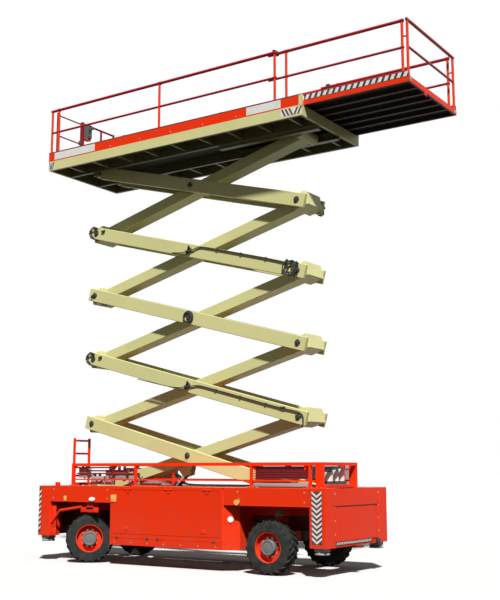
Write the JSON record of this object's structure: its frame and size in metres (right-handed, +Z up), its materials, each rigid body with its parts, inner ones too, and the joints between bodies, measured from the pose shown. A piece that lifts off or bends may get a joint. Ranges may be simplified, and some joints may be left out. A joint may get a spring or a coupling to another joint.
{
  "type": "self-propelled rough terrain scissor lift",
  "caption": "Rough terrain scissor lift with a raised stack of crossed arms, a railed deck and a roll-out deck extension on a four-wheel chassis.",
  "frame": {"origin": "on the ground, midway along the chassis, on its centre plane", "axes": "+X to the front, the end the extension rolls out of; +Y to the machine's left; +Z up"},
  "size_m": [8.58, 2.6406, 9.6573],
  "materials": {
    "red_paint": "semi-gloss orange-red enamel",
    "dark_red_paint": "dull red enamel",
    "cream_paint": "satin cream enamel",
    "grey_paint": "satin light grey",
    "black_steel": "satin black",
    "chromed_rod": "polished",
    "red_rim": "semi-gloss enamel, grey hub",
    "tyre_rubber": "matt black rubber"
  },
  "bodies": {
    "chassis": {"chassis_frame": "dark_red_paint", "body_shell": "red_paint", "power_units": "grey_paint", "upper_frame": "red_paint", "access_ladder": "red_paint", "scissor_tracks": "cream_paint", "front_corner_housings": "red_paint", "rear_corner_housings": "red_paint", "end_plates": "red_paint", "tow_tongues": "dark_red_paint", "axles": "black_steel", "side_boxes": "red_paint"},
    "inner_arm_1": {"inner_arm_1": "cream_paint"},
    "outer_arm_1": {"outer_arm_1": "cream_paint"},
    "inner_arm_2": {"inner_arm_2": "cream_paint"},
    "outer_arm_2": {"outer_arm_2": "cream_paint"},
    "inner_arm_3": {"inner_arm_3": "cream_paint"},
    "outer_arm_3": {"outer_arm_3": "cream_paint"},
    "inner_arm_4": {"inner_arm_4": "cream_paint"},
    "outer_arm_4": {"outer_arm_4": "cream_paint"},
    "inner_arm_5": {"inner_arm_5": "cream_paint"},
    "outer_arm_5": {"outer_arm_5": "cream_paint"},
    "deck": {"deck_frame": "cream_paint", "deck_ribs": "cream_paint", "deck_floor": "cream_paint", "deck_channels": "cream_paint", "toe_boards": "red_paint", "guard_rail_posts": "red_paint", "guard_rails": "red_paint", "rear_guard_rails": "red_paint", "platform_controls": "grey_paint"},
    "lift_barrel": {"lift_cylinder_barrel": "black_steel"},
    "lift_rod": {"lift_cylinder_rod": "chromed_rod"},
    "knuckle_front_right": {"knuckle_front_right": "black_steel"},
    "wheel_front_right": {"tyre_front_right": "tyre_rubber", "rim_front_right": "red_rim"},
    "jack_leg_front_right": {"jack_leg_front_right": "grey_paint"},
    "knuckle_front_left": {"knuckle_front_left": "black_steel"},
    "wheel_front_left": {"tyre_front_left": "tyre_rubber", "rim_front_left": "red_rim"},
    "jack_leg_front_left": {"jack_leg_front_left": "grey_paint"},
    "knuckle_rear_right": {"knuckle_rear_right": "black_steel"},
    "wheel_rear_right": {"tyre_rear_right": "tyre_rubber", "rim_rear_right": "red_rim"},
    "jack_leg_rear_right": {"jack_leg_rear_right": "grey_paint"},
    "knuckle_rear_left": {"knuckle_rear_left": "black_steel"},
    "wheel_rear_left": {"tyre_rear_left": "tyre_rubber", "rim_rear_left": "red_rim"},
    "jack_leg_rear_left": {"jack_leg_rear_left": "grey_paint"},
    "right_side_door": {"right_side_door": "red_paint"},
    "left_side_door": {"left_side_door": "red_paint"},
    "entry_gate": {"entry_gate": "red_paint"},
    "extension": {"extension_deck": "dark_red_paint", "extension_rails": "red_paint"}
  },
  "joints": [
    {"name": "lift", "type": "hinge", "parent": "chassis", "child": "inner_arm_1", "pos_m": [-2.7, 0, 1.41], "axis": [0, -1, 0], "range_deg": [-11.1, 34.9]},
    {"name": "centre_pin_1", "type": "hinge", "parent": "inner_arm_1", "child": "outer_arm_1", "pos_m": [-0.15115, 0, 2.09773], "axis": [0, -1, 0], "range_deg": [-69.82, 22.22]},
    {"name": "lower_pin_2", "type": "hinge", "parent": "outer_arm_1", "child": "inner_arm_2", "pos_m": [-2.7, 0, 2.78546], "axis": [0, -1, 0], "range_deg": [-22.22, 69.82]},
    {"name": "centre_pin_2", "type": "hinge", "parent": "inner_arm_2", "child": "outer_arm_2", "pos_m": [-0.15115, 0, 3.4732], "axis": [0, -1, 0], "range_deg": [-69.82, 22.22]},
    {"name": "lower_pin_3", "type": "hinge", "parent": "outer_arm_2", "child": "inner_arm_3", "pos_m": [-2.7, 0, 4.16093], "axis": [0, -1, 0], "range_deg": [-22.22, 69.82]},
    {"name": "centre_pin_3", "type": "hinge", "parent": "inner_arm_3", "child": "outer_arm_3", "pos_m": [-0.15115, 0, 4.84866], "axis": [0, -1, 0], "range_deg": [-69.82, 22.22]},
    {"name": "lower_pin_4", "type": "hinge", "parent": "outer_arm_3", "child": "inner_arm_4", "pos_m": [-2.7, 0, 5.53639], "axis": [0, -1, 0], "range_deg": [-22.22, 69.82]},
    {"name": "centre_pin_4", "type": "hinge", "parent": "inner_arm_4", "child": "outer_arm_4", "pos_m": [-0.15115, 0, 6.22412], "axis": [0, -1, 0], "range_deg": [-69.82, 22.22]},
    {"name": "lower_pin_5", "type": "hinge", "parent": "outer_arm_4", "child": "inner_arm_5", "pos_m": [-2.7, 0, 6.91186], "axis": [0, -1, 0], "range_deg": [-22.22, 69.82]},
    {"name": "centre_pin_5", "type": "hinge", "parent": "inner_arm_5", "child": "outer_arm_5", "pos_m": [-0.15115, 0, 7.59959], "axis": [0, -1, 0], "range_deg": [-69.82, 22.22]},
    {"name": "deck_pin", "type": "hinge", "parent": "outer_arm_5", "child": "deck", "pos_m": [-2.7, 0, 8.28732], "axis": [0, -1, 0], "range_deg": [-11.12, 34.92]},
    {"name": "barrel_pin", "type": "hinge", "parent": "chassis", "child": "lift_barrel", "pos_m": [-1.6, 0, 0.5], "axis": [0, -1, 0], "range_deg": [-10.14, 31.83]},
    {"name": "rod_slide", "type": "slide", "parent": "lift_barrel", "child": "lift_rod", "axis": [0.6831, 0, 0.7304], "range_m": [-0.2703, 0.8479]},
    {"name": "steer_front_right", "type": "hinge", "parent": "chassis", "child": "knuckle_front_right", "pos_m": [2.21, -0.74, 0.65], "axis": [0, 0, 1], "range_deg": [-42, 42]},
    {"name": "spin_front_right", "type": "hinge", "parent": "knuckle_front_right", "child": "wheel_front_right", "pos_m": [2.21, -1, 0.475], "axis": [0, 1, 0], "continuous": true},
    {"name": "jack_front_right", "type": "slide", "parent": "chassis", "child": "jack_leg_front_right", "axis": [0, 0, -1], "range_m": [0, 0.42]},
    {"name": "steer_front_left", "type": "hinge", "parent": "chassis", "child": "knuckle_front_left", "pos_m": [2.21, 0.74, 0.65], "axis": [0, 0, 1], "range_deg": [-42, 42]},
    {"name": "spin_front_left", "type": "hinge", "parent": "knuckle_front_left", "child": "wheel_front_left", "pos_m": [2.21, 1, 0.475], "axis": [0, 1, 0], "continuous": true},
    {"name": "jack_front_left", "type": "slide", "parent": "chassis", "child": "jack_leg_front_left", "axis": [0, 0, -1], "range_m": [0, 0.42]},
    {"name": "steer_rear_right", "type": "hinge", "parent": "chassis", "child": "knuckle_rear_right", "pos_m": [-2.31, -0.74, 0.65], "axis": [0, 0, 1], "range_deg": [-80, 4]},
    {"name": "spin_rear_right", "type": "hinge", "parent": "knuckle_rear_right", "child": "wheel_rear_right", "pos_m": [-2.14993, -0.94488, 0.475], "axis": [-0.6157, 0.788, 0], "continuous": true},
    {"name": "jack_rear_right", "type": "slide", "parent": "chassis", "child": "jack_leg_rear_right", "axis": [0, 0, -1], "range_m": [0, 0.42]},
    {"name": "steer_rear_left", "type": "hinge", "parent": "chassis", "child": "knuckle_rear_left", "pos_m": [-2.31, 0.74, 0.65], "axis": [0, 0, 1], "range_deg": [-80, 4]},
    {"name": "spin_rear_left", "type": "hinge", "parent": "knuckle_rear_left", "child": "wheel_rear_left", "pos_m": [-2.47007, 0.94488, 0.475], "axis": [-0.6157, 0.788, 0], "continuous": true},
    {"name": "jack_rear_left", "type": "slide", "parent": "chassis", "child": "jack_leg_rear_left", "axis": [0, 0, -1], "range_m": [0, 0.42]},
    {"name": "right_door_hinge", "type": "hinge", "parent": "chassis", "child": "right_side_door", "pos_m": [0, -1.169, 1.446], "axis": [-1, 0, 0], "range_deg": [0, 85]},
    {"name": "left_door_hinge", "type": "hinge", "parent": "chassis", "child": "left_side_door", "pos_m": [0, 1.169, 1.446], "axis": [1, 0, 0], "range_deg": [0, 85]},
    {"name": "gate_hinge", "type": "hinge", "parent": "deck", "child": "entry_gate", "pos_m": [-3.442, -0.872, 9.06732], "axis": [0, 0, -1], "range_deg": [0, 90]},
    {"name": "extension_slide", "type": "slide", "parent": "deck", "child": "extension", "axis": [1, 0, 0], "range_m": [-2.1, 0]}
  ],
  "couplings": [
    {"joint": "centre_pin_1", "follows": "lift", "ratio": -2},
    {"joint": "lower_pin_2", "follows": "lift", "ratio": 2},
    {"joint": "centre_pin_2", "follows": "lift", "ratio": -2},
    {"joint": "lower_pin_3", "follows": "lift", "ratio": 2},
    {"joint": "centre_pin_3", "follows": "lift", "ratio": -2},
    {"joint": "lower_pin_4", "follows": "lift", "ratio": 2},
    {"joint": "centre_pin_4", "follows": "lift", "ratio": -2},
    {"joint": "lower_pin_5", "follows": "lift", "ratio": 2},
    {"joint": "centre_pin_5", "follows": "lift", "ratio": -2},
    {"joint": "deck_pin", "follows": "lift", "ratio": 1},
    {"joint": "barrel_pin", "follows": "lift", "ratio": 0.9115},
    {"joint": "rod_slide", "follows": "lift", "m_per_rad": 1.3903},
    {"joint": "steer_front_left", "follows": "steer_front_right", "ratio": 1},
    {"joint": "steer_rear_left", "follows": "steer_rear_right", "ratio": 1}
  ]
}
